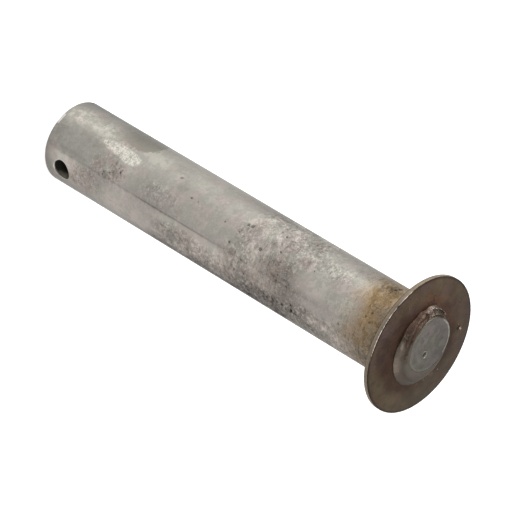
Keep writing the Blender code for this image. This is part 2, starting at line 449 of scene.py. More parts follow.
DARK_MARKS_AND_SHADE = (
    (14, -1, 12.5, 22, 0.06, 0.08), (13, 18, 11, 5, 0.5, 0.10), (84, 8, 30, 18, 0.4, 0.02),
    (54, 12, 13, 15, 0.6, 0.14), (70, 44, 10, 12, 0.5, 0.20), (27, 28, 7, 9, 0.5, 0.12),
    (112, 62, 34, 15, 0.5, 0.44), (80, 76, 30, 8, 0.7, 0.40), (60, 66, 6, 7, 0.4, 0.20),
    (118, -40, 12, 12, 0.8, 0.12), (130, -52, 12, 18, 0.8, 0.06), (120, 8, 7, 18, 0.5, 0.14),
    (129, 36, 7, 14, 0.5, 0.22), (112, -66, 16, 15, 0.8, 0.14), (146, -62, 14, 14, 0.8, 0.24),
    (161, -45, 5, 18, 0.7, 0.38), (8, -78, 16, 8, 0.7, 0.40), (103, 40, 4, 9, 0.4, 0.20),
    (95, -66, 12, 14, 0.7, 0.18), (163, 58, 5, 14, 0.6, 0.34), (130, -40, 10, 13, 0.7, 0.10),
    (164, -14, 4, 9, 0.6, 0.12), (118, 12, 7, 14, 0.6, 0.14), (148, -48, 5, 9, 0.6, 0.16),
    (169, 26, 4, 17, 0.6, 0.34), (80, 78, 60, 7, 0.7, 0.14), (2, 18, 3, 34, 0.7, 0.16),
    (10, -70, 24, 18, 0.8, 0.12), (128, 40, 10, 14, 0.6, 0.12), (146, 24, 12, 18, 0.8, 0.08),
    (37, 7, 1.6, 3, 0.5, 0.10), (34, 12, 1.5, 3, 0.5, 0.20), (31, 19, 1.4, 5, 0.5, 0.25),
)
# Single pits, each with its height, its turn and its radius
PITS = (
    (60.8, -31.7, 0.95), (99.2, -24.0, 1.00), (97.4, -22.5, 0.75), (107.9, -2.5, 0.95),
    (94.6, 9.7, 0.60), (37.4, 5.4, 0.50), (36.2, 2.5, 0.40), (38.3, 8.5, 0.40), (162.1, -61.0, 1.10),
    (88.6, -9.6, 0.55), (70.5, -14, 0.50), (96.3, -8.0, 0.50), (110.0, -39.6, 0.75),
    (113.0, -36.0, 0.70), (115.9, -13, 0.60), (74, -14, 0.45), (132.0, -14.0, 0.60),
    (128.5, 42.0, 0.80), (128.8, 50.0, 0.70), (151.0, 28.0, 0.55), (33.0, 13.5, 0.40),
    (162.0, -6.0, 0.70), (160.5, 1.5, 0.80), (163.0, 6.0, 0.60), (158.5, -2.0, 0.50),
)


def shank_finish(settings):
    """Ground steel: worn at the plain end, pitted and stained, heat tinted under the head, with painted
    sheen, highlights and shade, and a painted dark reflection.
    """
    finish = new_finish("worn_ground_steel")
    place, x, y, height, radius, turn = finish.polar()
    _, boss_x, boss_y, _, boss, boss_turn = finish.polar(STUB_CENTRE)

    blotch = finish.cloud(place, 15, 1.0, 4, 0.55)
    patchy = finish.cloud(place, 6.5, 7.0, 3, 0.45)
    mottle = finish.cloud(place, 2.8, 2.0, 5, 0.65)
    speck = finish.cloud(place, 1.15, 3.0, 4, 0.72)
    grain = finish.cloud(place, 0.62, 8.0, 2, 0.7)
    streak = finish.cloud(finish.place(turn=VIEW_BEARING, stretch=(1, 1, 7)), 1.5, 4.0, 3, 0.6)
    rub = finish.cloud(finish.place(turn=VIEW_BEARING, stretch=(4.5, 4.5, 1)), 1.0, 5.0, 4, 0.65)
    wobble = blotch * 0.12 + mottle * 0.16 + speck * 0.13 + grain * 0.04

    def mark(middle, across, reach, spread, soft):
        return patch(height, turn, wobble, middle, across, reach, spread, soft)

    def marks(table):
        total = 0.0
        for middle, across, reach, spread, soft, strength in table:
            total += mark(middle, across, reach, spread, soft) * strength
        return total

    worn = (height + blotch * 3 + mottle * 0.8).rise(44.5, 43.0)
    smooth_end = mark(14, -1, 12.5, 22, 0.06)
    # A frosted patch near the worn end: rougher, and lightened as a painted highlight
    frost_and_highlight = mark(31.6, -20.5, 10.4, 8.2, 0.14).over(mark(37, -18, 5.5, 8.6, 0.14))
    dusk = mark(32, -60, 12, 28, 0.10)
    dusk *= (height - turn * 0.05 + mottle * 1.5 + streak * 1.5).rise(20, 37)
    soiled = mark(31, 8, 8, 17, 0.25).over(mark(21, 43, 9, 18, 0.4))
    low_side = (turn + blotch * 6).rise(30, 38) * height.rise(54, 66) * height.rise(172, 158)
    belt = abs(height - SCAB_BELT + blotch * 5 + turn * 0.05).rise(22, 13)
    rough = belt.over(low_side * 0.9).over(soiled).over(frost_and_highlight * 0.6)
    rough = rough.over(mark(57, 3, 9, 14, 0.5) * 0.5).over((height + blotch * 5).rise(140, 158) * 0.5)
    rough *= (1 - mark(135, 2, 8, 15, 0.3) * 0.8) * (1 - smooth_end * 0.8)
    rough = rough.over(mark(136, -28, 13, 12, 0.4) * 0.9).over(mark(12, -40, 13, 12, 0.5) * 0.6)

    # The seam line: a slight groove in the relief, with a painted dark reflection along it and painted
    # shade in the band just above it
    near_seam = abs(turn - SEAM_TURN + mottle * 0.25 + blotch * 0.3)
    seam_and_dark_reflection = near_seam.rise(1.3, 0.35) * height.rise(44, 50) * height.rise(98, 78)
    seam_and_dark_reflection = seam_and_dark_reflection.over(near_seam.rise(2.6, 0.4) * 0.46 * height.rise(3, 8) * height.rise(150, 120))
    shade_above_seam = turn.rise(8, 20) * (turn - SEAM_TURN).rise(0.4, -0.4)
    shade_above_seam *= height.rise(3, 8) * height.rise(170, 160)

    light_scab = (speck + mottle * 0.35 + grain * 0.35).rise(0.15, 0.50)
    dark_scab = (patchy * 0.25 + grain * 0.35 - speck).rise(0.30, 0.65)
    stroke = (mottle * 0.2 - rub).rise(0.25, 0.60)
    flake = (mottle + patchy * 0.5 + grain * 0.1).rise(-0.06, 0.10)
    frosting = (grain + speck * 0.5).rise(-0.45, 0.25)

    tone = 1 + blotch * 0.035 + (flake - 0.5) * (0.07 + 0.10 * rough) + mottle * 0.03 + streak * 0.016
    tone += grain * (0.055 + 0.05 * rough) + speck * 0.04 + rub * 0.018
    tone += light_scab * (0.04 + 0.34 * rough) - dark_scab * (0.03 + 0.31 * rough)
    tone -= stroke * (0.015 + 0.22 * rough)
    # Stains and polish from the tables, with their painted sheen and painted shade
    tone += marks(LIGHT_MARKS_AND_SHEEN) * (0.7 + flake * 0.5) - marks(DARK_MARKS_AND_SHADE) * (0.75 + flake * 0.5)
    tone += frost_and_highlight * (0.22 + 0.55 * frosting) - dusk * (0.17 + 0.12 * flake)
    tone -= seam_and_dark_reflection * 0.33 + shade_above_seam * 0.06

    bar = SHANK_RADIUS / MM
    cells = finish.cells(place, 2.4, 6.0)
    crowd = (0.12 + rough) * (patchy + speck * 0.2).rise(0.0, 0.4)
    pit = (cells + mottle * 0.05).rise(0.22, 0.10) * crowd * 0.9
    for middle, across, size in PITS:
        arc = (turn - across) * math.radians(bar)
        distance = arc.hypot(height - middle)
        pit = pit.over((distance + speck * 0.26 + grain * 0.16).rise(size, size * 0.4))
    tone -= pit * 0.5

    hue = finish.cloud(place, 7.5, 9.0, 3, 0.5)
    warmth = hue + mottle * 0.35 + speck * 0.2 + turn * 0.006 - worn * 0.25
    steel = Coat(finish, settings.steel)
    steel.lay(warmth.rise(-0.4, 0.4), settings.blush)
    steel.lay(smooth_end * 0.8, (0.312, 0.304, 0.272))
    browner = (low_side * 0.5).over(belt * turn.rise(-20, 20) * 0.5)
    steel.lay(browner, (0.318, 0.284, 0.250))
    steel.shade(tone)
    stain = soiled * (mottle + speck * 0.5).rise(-0.2, 0.3) * 0.6
    stain = stain.over(mark(119, 20, 9, 32, 0.7) * (mottle + speck * 0.6).rise(-0.2, 0.3) * 0.75)
    stain = stain.over(belt * (patchy + speck * 0.5).rise(0.25, 0.5) * 0.45)
    stain = stain.over((blotch + mottle * 0.5).rise(0.5, 0.8) * 0.25)
    steel.lay(stain, settings.stain, tone)
    steel.lay(dusk * 0.35, (0.20, 0.185, 0.135), tone)
    heat = (height + blotch * 2.0 + patchy * 1.4 + mottle * 0.8 - turn * 0.04).rise(147, 161)
    heat *= 0.5 + 0.5 * abs(turn + 8).rise(72, 36)
    bruise = (mottle + speck * 0.6).rise(0.1, 0.35).over(stroke).over(dark_scab * 0.8) * heat
    golden = heat * (0.88 + hue * 0.2 + mottle * 0.2 + flake * 0.08).over(0.0).under(1.0)
    steel.lay(golden, settings.tint, tone)
    steel.shade(1 - bruise * 0.36)
    blued = (height + speck * 0.5 + mottle * 0.8).rise(166.5, 172) * 0.75
    steel.lay(blued, (0.190, 0.134, 0.080), tone)

    # Painted shade: a dark line along the plain end's edge
    end_edge_shade = (height + speck * 0.12).rise(0.45, 0.15)
    steel.shade(1 - end_edge_shade * 0.35)
    end_glint = (abs(height - 0.7) + speck * 0.1).rise(0.7, 0.4) * abs(turn + 17).rise(10, 6)
    steel.lay(end_glint, (0.66, 0.65, 0.62))
    mouth_side = y * math.cos(VIEW_BEARING) + x * math.sin(VIEW_BEARING)
    mouth = mouth_side.hypot(height - HOLE_HEIGHT)
    mouth_rim = (mouth + speck * 0.05).rise(4.7, 4.3)
    steel.shade(1 + mouth_rim * 0.16)

    top = height.rise(STUB_TOP / MM - 0.9, STUB_TOP / MM - 0.6)
    scratch = finish.cloud(finish.place(turn=0.7, stretch=(9, 1, 1)), 0.7, 10.0, 2, 0.6)
    disc_hue = (hue * 1.2 + patchy * 0.5 - boss_x * 0.03 - boss_y * 0.06).rise(-0.4, 0.4)
    disc = Coat(finish, settings.cut_face)
    disc.lay(disc_hue, settings.cut_blush)
    swirl = boss.maths("SINE", (boss + blotch * 0.7) * 2.1)
    swirl *= (boss_x * 0.6 + boss_y * 0.8).rise(-3, 5)
    disc_tone = 1 + boss_x * 0.006 + flake * 0.16 + mottle * 0.11 + speck * 0.08 + grain * 0.07
    disc_tone += swirl * 0.08 + scratch * 0.06 - dark_scab * 0.18
    disc_tone -= (cells + mottle * 0.05).rise(0.16, 0.08) * 0.4
    disc.shade(disc_tone)
    # Painted highlight: the stub end's rounded edge laid light on two stretches of its round, where it
    # catches the light
    rim = (boss + speck * 0.12).rise(9.65, 10.0) * (0.08 + 0.92 * abs(boss_turn + 136).rise(56, 38))
    rim *= abs(boss_turn + 15).rise(60, 80)
    lower_rim_highlight = (boss + speck * 0.2 + mottle * 0.1).rise(10.1, 10.4)
    rim = rim.over(lower_rim_highlight * abs(boss_turn - 110).rise(36, 22) * 0.7)
    disc.lay(rim * 0.85, (0.36, 0.35, 0.30), 1 + speck * 0.2 + grain * 0.2)
    hidden = (boss + mottle * 0.5).rise(8.4, 10.2) * abs(boss_turn).rise(68, 40)
    disc.lay(hidden * 0.6, (0.118, 0.111, 0.090), disc_tone)
    punch = finish.polar(PUNCH_CENTRE)[4] + speck * 0.08
    # Painted shade inside the punch mark, and a painted highlight on its lip
    disc.shade(1 - punch.rise(1.05, 0.75) * 0.6)
    disc.lay(abs(punch - 1.32).rise(0.32, 0.1) * 0.7, (0.28, 0.27, 0.23))
    steel.lay(top, disc.colour)

    lit_wall = (mouth_side + (radius - bar) * 0.5 + mottle * 0.8).rise(0.9, 4.0) + 0.09 + speck * 0.05
    bore = radius.rise(bar - 0.25, bar - 0.9) * height.rise(1.5, 2.2) * height.rise(20, 16)
    steel.lay(bore, (0.29, 0.27, 0.205), lit_wall)

    roughness = 0.43 - worn * 0.07 + pit * 0.2 + mottle * 0.03 + rough * 0.05 + flake * 0.02
    roughness += top * 0.08 + bore * 0.15
    relief = mottle * 0.004 + grain * 0.004 * (1 + rough * 2)
    relief += (light_scab - dark_scab - stroke) * 0.012 * rough
    relief -= pit * 0.14 + seam_and_dark_reflection * 0.05 + flake * 0.004
    return finish.surface(steel.colour, roughness, relief, 1 - bore * 0.85, (0.7, 0.7, 0.7))


def washer_finish(settings):
    """Browned steel: oxide from the welding heat, worn bright on the outer edge, with a painted glint
    along that edge and a painted dark line inside it.
    """
    finish = new_finish("heat_browned_steel")
    place, x, y, height, radius, turn = finish.polar(WASHER_CENTRE)
    _, boss_x, boss_y, _, boss, boss_turn = finish.polar(STUB_CENTRE)
    outer = WASHER_RADIUS / MM
    face = WASHER_FACE / MM

    blotch = finish.cloud(place, 11, 11.0, 3, 0.5)
    mottle = finish.cloud(place, 3.2, 12.0, 5, 0.6)
    speck = finish.cloud(place, 0.9, 15.0, 4, 0.7)
    grain = finish.cloud(place, 0.5, 13.0, 2, 0.7)
    hue = finish.cloud(place, 8, 14.0, 3, 0.5)
    flake = (mottle + blotch * 0.4 + grain * 0.1).rise(-0.1, 0.15)

    heavy_side = (boss_y * 0.17 + boss_x * 0.1).over(0.0)
    scorch = (boss - heavy_side + blotch * 1.8 + mottle * 0.7).rise(21.0, 14.5)
    rim = radius.rise(outer - 0.02, outer - 0.005)
    edge = (radius + speck * 0.04).rise(outer - 0.26, outer - 0.16) * (1 - rim)
    edge *= height.rise(face - 0.45, face - 0.35)
    # Painted glint: the worn edge's chamfer laid bright on the side where it catches the light
    lit_edge = abs(turn + 2 + blotch * 4).rise(38, 20)
    rubbed = edge * lit_edge * (mottle + speck * 0.5).rise(-0.7, 0.5)
    # Painted shade: a dark line inside the glint, stronger on the lit side, and the unlit chamfer laid
    # near black
    rim_shade_line = (radius + speck * 0.1).rise(outer - 1.05, outer - 0.65)
    rim_shade_line = (rim_shade_line * (0.42 + 0.5 * lit_edge)).over(edge * (1 - rubbed)) * (1 - rim)
    leftward = (x + y * 0.25 + blotch * 3).rise(4, 20)
    downward = (y - x * 0.25 + blotch * 3).rise(6, 20)

    tone = 1.05 + blotch * 0.10 + (flake - 0.5) * 0.16 + mottle * 0.06 + grain * 0.09 - leftward * 0.30
    tone += speck.rise(0.45, 0.8) * 0.14 - speck.rise(-0.5, -0.85) * 0.16
    tint = hue * 0.9 + mottle * 0.3 + leftward * 0.35 - downward * 0.75 + 0.1
    steel = Coat(finish, settings.olive)
    steel.lay(tint.rise(-0.7, 0.1), settings.brown)
    steel.lay(tint.rise(0.2, 0.8), settings.plum)
    steel.shade(tone)
    steel.lay(scorch * 0.85, settings.scorch, tone)
    splash = abs(boss_turn + 66 + mottle * 6).rise(34, 12) * (boss + mottle).rise(21.5, 17)
    rust = (speck + mottle * 0.5).rise(0.6, 0.9) * blotch.rise(-0.2, 0.3)
    rust = rust.over((speck + mottle * 0.3).rise(-0.05, 0.35) * splash)
    steel.lay(rust * 0.55, (0.17, 0.072, 0.036))
    flecks = abs(boss_turn - 146 + mottle * 5).rise(24, 10) * abs(boss - 16 + mottle).rise(4, 2)
    flecks *= (speck + grain * 0.4).rise(0.2, 0.5)
    steel.lay(flecks * 0.7, (0.22, 0.150, 0.105))
    steel.lay(rim * 0.9, settings.rim, 1 + mottle * 0.2 + grain * 0.15)
    steel.lay(rim_shade_line, (0.016, 0.013, 0.010))
    steel.lay(rubbed, (0.74, 0.66, 0.56))
    back = height.rise(GRIP_LENGTH / MM + 0.4, GRIP_LENGTH / MM + 0.05)
    steel.lay(back * 0.6, (0.19, 0.155, 0.118), tone)

    roughness = 0.45 + mottle * 0.04 - rubbed * 0.14 + scorch * 0.06 + flake * 0.03
    relief = mottle * 0.005 + grain * 0.003 + speck * 0.005
    return finish.surface(steel.colour, roughness, relief)


def weld_finish(settings):
    """Weld metal: grey by the stub, brown at the toe, rusty and scaly on the rough side, with painted
    shade in its hollows and painted highlights on its ridges.
    """
    finish = new_finish("weld_metal")
    place, _, _, _, radius, turn = finish.polar(STUB_CENTRE)
    hollow = finish.attribute("hollow")
    margin = finish.attribute("margin")

    blotch = finish.cloud(place, 6, 21.0, 3, 0.5)
    mottle = finish.cloud(place, 1.9, 22.0, 5, 0.65)
    speck = finish.cloud(place, 0.8, 24.0, 4, 0.7)
    grain = finish.cloud(place, 0.42, 23.0, 2, 0.6)

    rough = (radius + mottle * 0.6 + blotch * 0.5).rise(9.9, 11.0)
    rough *= abs(turn + 17 + blotch * 4).rise(38, 24)
    crater = abs(turn + 72 + blotch * 2).rise(30, 22)
    band = (margin + blotch * 0.4 + mottle * 0.25).rise(2.8, 1.6)
    # The bead's hollows: rougher, and darkened as painted shade
    dull_and_shaded = hollow.over(0.0)
    ridge = (0 - hollow).over(0.0)

    tone = 1 + blotch * 0.06 + mottle * 0.07 + grain * 0.07 + speck * 0.05 - dull_and_shaded * 0.3
    tone += (speck + mottle * 0.3).rise(0.3, 0.7) * (0.05 + 0.25 * rough)
    tone -= speck.rise(-0.3, -0.8) * (0.06 + 0.25 * rough.over(crater))
    metal = Coat(finish, settings.metal)
    metal.lay((blotch + mottle * 0.4).rise(-0.5, 0.5), (0.132, 0.108, 0.089))
    metal.lay(band * 0.8, settings.toe)
    metal.lay(crater * 0.7, (0.150, 0.118, 0.090))
    groove_line = radius - 11.4 + mottle * 0.3
    groove = groove_line.rise(-0.9, 0.2) * groove_line.rise(1.9, 0.7)
    groove *= abs(turn - 33).rise(30, 16) * (mottle + speck * 0.4).rise(-0.9, 0.2)
    # Painted shade: the bead's hollows and its groove laid dark brown
    metal.lay((dull_and_shaded * (1 - crater)).over(groove * 0.9), (0.068, 0.048, 0.036))
    metal.shade(tone)
    rust = rough * (mottle + blotch * 0.4).rise(-1.0, -0.2)
    metal.lay(rust * 0.9, settings.rust, tone)
    # Painted highlight: the bead's ridges laid bright in patches, most on the crater's lip
    rubbed = (mottle + speck * 0.6 + crater * 0.8).rise(-0.4, 0.4)
    ridge_highlight = ridge * rubbed * (0.3 + 0.45 * crater.over(rough * 0.1))
    metal.lay(ridge_highlight, settings.bright, tone * 0.72)

    roughness = 0.46 + mottle * 0.04 + dull_and_shaded * 0.15 + rough * 0.06
    relief = mottle * 0.010 + grain * 0.004 + speck * 0.014 * (0.3 + rough.over(crater))
    return finish.surface(metal.colour, roughness, relief)


WELD_TURNS = 480
CROWN_POINTS = 44
SECTION_POINTS = CROWN_POINTS + 4
RING_RADIUS = 2 * MM
WELD_FOOT = 0.25 * MM
TOE_HEIGHT = 0.18

# The bead by bearing about the stub: its width on the washer, how far it laps over the stub's
# face, and its height where it meets the stub, in millimetres
BEAD_WIDTHS = ((190, 1.5), (209, 1.9), (225, 2.5), (238, 3.3), (248, 3.4), (257, 3.2), (265, 2.7),
               (276, 3.1), (288, 2.5), (304, 2.9), (316, 2.8), (328, 2.6), (341, 3.6), (356, 4.4),
               (11, 5.0), (24, 5.6), (39, 6.2), (52, 6.6), (66, 6.7), (90, 6.2), (115, 5.2),
               (140, 3.8), (165, 2.4))
BEAD_LAPS = ((262, 0.1), (276, 0.3), (287, 0.6), (303, 1.5), (315, 1.1), (342, 1.4), (2, 1.0),
             (20, 0.3), (60, 0.1), (120, 0.1), (180, 0.1))
BEAD_RIMS = ((0, 3.28), (18, 3.15), (40, 2.98), (80, 2.95), (110, 2.9), (140, 2.5), (175, 1.7),
             (215, 1.6), (235, 1.7), (262, 2.4), (280, 3.0), (300, 3.35), (342, 3.35))

# Stretches of the bead, each with its first bearing, its last one and its fade, in degrees
ROUGH_STRETCH = (272, 335, 14)
GROOVE_STRETCH = (326, 350, 12)
SWELL_STRETCH = (318, 352, 12)
RIPPLE_STRETCH = (30, 72, 20)
CRATER_STRETCH = (216, 264, 7)


def along_bead(stations, bearing):
    """A measure of the bead at a bearing, on a smooth closed curve through its stations."""
    for index, (start, first) in enumerate(stations):
        ahead = index + 1 - len(stations)
        end, second = stations[ahead]
        gap = (end - start) % 360
        part = (math.degrees(bearing) - start) % 360 / gap
        if part < 1:
            break
    before, earlier = stations[index - 1]
    after, later = stations[ahead + 1]
    leave = (second - earlier) * gap / ((end - before) % 360)
    arrive = (later - first) * gap / ((after - start) % 360)
    eased = part * part * (3 - 2 * part)
    bend = leave * part * (1 - part) ** 2 - arrive * part * part * (1 - part)
    return first + (second - first) * eased + bend


def ease(value):
    """A smooth step from 0 to 1."""
    value = min(1.0, max(0.0, value))
    return value * value * (3 - 2 * value)


def stretch_of(bearing, start, end, fade):
    """1 between two bearings in degrees, fading to 0 within a few degrees outside them."""
    half = (end - start) / 2
    off = abs(math.degrees(turn_between(bearing, math.radians(start + half))))
    return ease((half + fade - off) / fade)


class PIN_OT_shank(bpy.types.Operator):
    """Build the drilled shank with its stub"""

    bl_idname = "pin.shank"
    bl_label = "Shank"

    def execute(self, context):
        settings = context.scene.pin_shank
        radius = settings.radius
        shank = add_bar("pin_shank", radius, 0, settings.grip)
        bevel_ring(shank, 0, radius, settings.chamfer, 1)
        bevel_ring(shank, 0, radius - settings.chamfer, WORN_EDGE, 2)
        bevel_ring(shank, settings.chamfer, radius, WORN_EDGE, 2)
        self.lean_chamfer(shank, settings)
        bevel_ring(shank, settings.grip, radius, settings.shoulder, 2)

        stub = add_bar("stub", settings.stub_radius, settings.grip - OVERLAP, STUB_TOP, STUB_CENTRE)
        bevel_ring(stub, STUB_TOP, settings.stub_radius, settings.stub_edge, 5, STUB_CENTRE)
        cut_or_join(shank, stub, "UNION")
        cut_or_join(shank, self.hole_cutter(settings), "DIFFERENCE")
        self.punch_mark(shank, settings)
        finish_piece(shank, shank_finish(settings), "shank")
        return {"FINISHED"}

    def lean_chamfer(self, shank, settings):
        """Make the end's chamfer narrower on one side, as if turned off centre."""
        for vertex in shank.data.vertices:
            reach = math.hypot(vertex.co.x, vertex.co.y)
            if vertex.co.z < settings.chamfer + 0.2 * MM:
                bearing = math.atan2(vertex.co.y, vertex.co.x)
                growth = 0.25 + side_share(bearing, VIEW_BEARING + math.radians(115)) ** 3
                drawn = settings.radius - (settings.radius - reach) * growth
                vertex.co.x *= drawn / reach
                vertex.co.y *= drawn / reach
                vertex.co.z *= growth

    def hole_cutter(self, settings):
        """A bar along X whose mouths flare evenly where they meet the shank's round surface."""
        reach = settings.radius - settings.hole
        cutter = add(bpy.ops.mesh.primitive_cylinder_add, "hole_cutter", vertices=128,
                     radius=settings.hole, depth=reach * 2, rotation=(0, math.pi / 2, 0),
                     location=(0, 0, settings.hole_height))
        flare = 1 + 2 * settings.deburr / settings.hole
        for side in (1, -1):
            self.carry_on(cutter, settings, side, 1.0, -settings.deburr)
            self.carry_on(cutter, settings, side, flare, settings.deburr)
            self.carry_on(cutter, settings, side, 1.0, settings.hole, flat=True)
        return cutter

    def carry_on(self, cutter, settings, side, growth, above, flat=False):
        """Extrude one end of the cutter to a ring above the shank's surface, or to a flat one."""
        shape = begin_edit(cutter, "FACE")
        for face in shape.faces:
            face.select = len(face.verts) > 4 and face.calc_center_median().x * side > 0
        bpy.ops.mesh.extrude_region_move(TRANSFORM_OT_translate={"value": (side * MM, 0, 0)})
        bpy.ops.transform.resize(value=(1, growth, growth),
                                 center_override=(0, 0, settings.hole_height))
        shape = bmesh.from_edit_mesh(cutter.data)
        for vertex in shape.verts:
            if vertex.select:
                fall = 0.0 if flat else vertex.co.y
                vertex.co.x = side * (math.sqrt(settings.radius ** 2 - fall ** 2) + above)
        bmesh.update_edit_mesh(cutter.data)
        end_edit(cutter)

    def punch_mark(self, shank, settings):
        """Press a round mark into the stub's end, with a low lip of displaced metal round it."""
        ball = settings.punch * 1.35
        sink = math.sqrt(ball ** 2 - settings.punch ** 2)
        lip = add(bpy.ops.mesh.primitive_torus_add, "punch_lip", major_segments=48,
                  minor_segments=10, major_radius=settings.punch * 1.2,
                  minor_radius=settings.punch * 0.2,
                  location=(*PUNCH_CENTRE, STUB_TOP - 0.02 * MM))
        cut_or_join(shank, lip, "UNION")
        tip = add(bpy.ops.mesh.primitive_uv_sphere_add, "punch_tip", segments=48, ring_count=24,
                  radius=ball, location=(*PUNCH_CENTRE, STUB_TOP + sink))
        cut_or_join(shank, tip, "DIFFERENCE")


class PIN_OT_washer(bpy.types.Operator):
    """Build the washer that is welded on as the head"""

    bl_idname = "pin.washer"
    bl_label = "Washer"

    def execute(self, context):
        settings = context.scene.pin_washer
        radius = settings.radius
        back = context.scene.pin_shank.grip
        face = back + settings.thickness
        washer = add_bar("pin_washer", radius, back, face, WASHER_CENTRE)
        bevel_ring(washer, face, radius, settings.face_edge, 2, WASHER_CENTRE)
        bevel_ring(washer, back, radius, settings.back_edge, 5, WASHER_CENTRE)
        bore_radius = context.scene.pin_shank.stub_radius + 0.2 * MM
        bore = add_bar("bore", bore_radius, back - OVERLAP, face + OVERLAP, STUB_CENTRE)
        cut_or_join(washer, bore, "DIFFERENCE")
        finish_piece(washer, washer_finish(settings), "head_washer")
        return {"FINISHED"}


class PIN_OT_weld(bpy.types.Operator):
    """Build the weld bead round the stub"""

    bl_idname = "pin.weld"
    bl_label = "Weld"
    disc_height = (STUB_TOP - WASHER_FACE) / MM

    def execute(self, context):
        settings = context.scene.pin_weld
        shank = context.scene.pin_shank
        face = shank.grip + context.scene.pin_washer.thickness
        bead = self.plain_ring(shank.stub_radius, face)
        hollows = bead.data.attributes.new("hollow", "FLOAT", "POINT")
        margins = bead.data.attributes.new("margin", "FLOAT", "POINT")
        sections = {}
        for vertex in bead.data.vertices:
            x = vertex.co.x - STUB_CENTRE[0]
            y = vertex.co.y - STUB_CENTRE[1]
            step = round(math.atan2(y, x) / math.tau * WELD_TURNS) % WELD_TURNS
            round_section = math.atan2(vertex.co.z - face, math.hypot(x, y) - shank.stub_radius)
            place = round(round_section / math.tau * SECTION_POINTS) % SECTION_POINTS
            bearing = math.tau * step / WELD_TURNS
            if step not in sections:
                sections[step] = self.section(settings, shank.stub_radius, face, bearing)
            radius, height, hollow = sections[step][place]
            vertex.co = (*round_about(STUB_CENTRE, radius, bearing), height)
            hollows.data[vertex.index].value = hollow
            margins.data[vertex.index].value = (sections[step][1][0] - radius) / MM
        begin_edit(bead)
        end_edit(bead)
        finish_piece(bead, weld_finish(settings), "weld_bead", 60)
        return {"FINISHED"}

    def plain_ring(self, reach, height):
        """A ring of round section, which gives the bead its faces."""
        ring = add(bpy.ops.mesh.primitive_circle_add, "pin_weld", vertices=SECTION_POINTS,
                   radius=RING_RADIUS, rotation=(math.pi / 2, 0, 0),
                   location=(STUB_CENTRE[0] + reach, STUB_CENTRE[1], height))
        begin_edit(ring)
        bpy.ops.mesh.select_all(action="SELECT")
        bpy.ops.mesh.spin(steps=WELD_TURNS, angle=math.tau, center=(*STUB_CENTRE, height),
                          axis=(0, 0, 1))
        bpy.ops.mesh.select_all(action="SELECT")
        bpy.ops.mesh.remove_doubles(threshold=CLOSE)
        return end_edit(ring)

    def section(self, settings, stub_radius, face, bearing):
        """The bead's section: (radius, height, hollow) from the toe's foot over the crown."""
        jitter = 0.10 * noise.noise(Vector((3 * math.cos(bearing), 3 * math.sin(bearing), 0)) * 2.2)
        toe = stub_radius + (along_bead(BEAD_WIDTHS, bearing) + jitter) * MM
        inner = stub_radius - along_bead(BEAD_LAPS, bearing) * MM
        ring = [(toe - 0.1 * MM, face - WELD_FOOT, 0.0), (toe, face - 0.02 * MM, 0.3)]
        for step in range(CROWN_POINTS):
            radius = toe + (inner - toe) * step / (CROWN_POINTS - 1)
            height, hollow = self.crown(settings, stub_radius, toe, inner, bearing, radius)
            ring.append((radius, face + height * MM, hollow))
        ring.append((inner - 0.1 * MM, STUB_TOP - 2.4 * MM, 0.0))
        ring.append((inner, face - WELD_FOOT, 0.0))
        return ring

    def crown(self, settings, stub_radius, toe, inner, bearing, radius):
        """The bead's height over the washer in mm, and how far it lies in a hollow or on a ridge."""
        across = (radius - stub_radius) / MM
        width = (toe - stub_radius) / MM
        span = max(0.0, across / width)
        full = side_share(bearing, settings.heavy)
        rim = along_bead(BEAD_RIMS, bearing)
        height = TOE_HEIGHT + (rim - TOE_HEIGHT) * (1 - span ** (1.25 + 1.35 * full))
        if across < 0:
            lapped = (stub_radius - radius) / (stub_radius - inner)
            height = rim - (rim + 0.03 - self.disc_height) * ease(lapped)

        run = bearing * stub_radius / MM
        smear = noise.fractal(Vector((run * 0.30, across * 1.2, 4.0)), 0.8, 2.0, 4)
        drift = noise.noise(Vector((run * 0.12, across * 0.2, 9.0)))
        ridge = math.cos(math.tau * (across * 0.6 + 0.5 * drift))
        rough = stretch_of(bearing, *ROUGH_STRETCH)
        edge = 4 * span * (1 - span)
        change = rough * edge * (0.22 * ridge + 0.20 * smear) + 0.02 * edge * smear
        along = math.degrees(bearing) % 360
        groove_run = 0.4 + 0.6 * ease((along - 322) / 20) + 1.5 * ease((along - 342) / 14)
        groove = stretch_of(bearing, *GROOVE_STRETCH) * bell(across - groove_run - 0.3 * drift, 0.7)
        groove *= 0.8 + 0.5 * smear
        change -= 0.13 * groove
        change += 0.07 * stretch_of(bearing, *SWELL_STRETCH) * bell(across - groove_run - 1.6, 0.8)
        ripple = stretch_of(bearing, *RIPPLE_STRETCH) * bell(across - 3.6 - 0.9 * drift, 0.4)
        ripple *= 0.6 + 0.9 * smear
        change -= 0.06 * ripple
        height += change

        crater = stretch_of(bearing, *CRATER_STRETCH) * ease(across / 0.3)
        lumps = noise.fractal(Vector((run, across, 0)) * 1.2, 0.9, 2.0, 3)
        lip = bell(width - across - 0.6, 0.36) * (1 + 0.3 * lumps)
        bowl = 0.6 + 0.45 * lumps + 1.05 * lip + 1.3 * bell(across, 1.1)
        bowl = TOE_HEIGHT + max(0.2, bowl) * (1 - span ** 9)
        height += crater * (bowl - height)
        hollow = crater * (0.7 - 2.2 * lip) + (1 - crater) * (groove * 0.5 + ripple * 0.3 - change * 1.6)
        return height, min(1.0, max(-1.0, hollow))


# Each drop's bearing, its distance in from the washer's edge in mm, and its share of the largest
SPATTER_DROPS = ((166, 5.4, 1.0), (172, 6.6, 0.35), (201, 4.6, 0.28), (285, 6.2, 0.30),
                 (118, 7.5, 0.25))


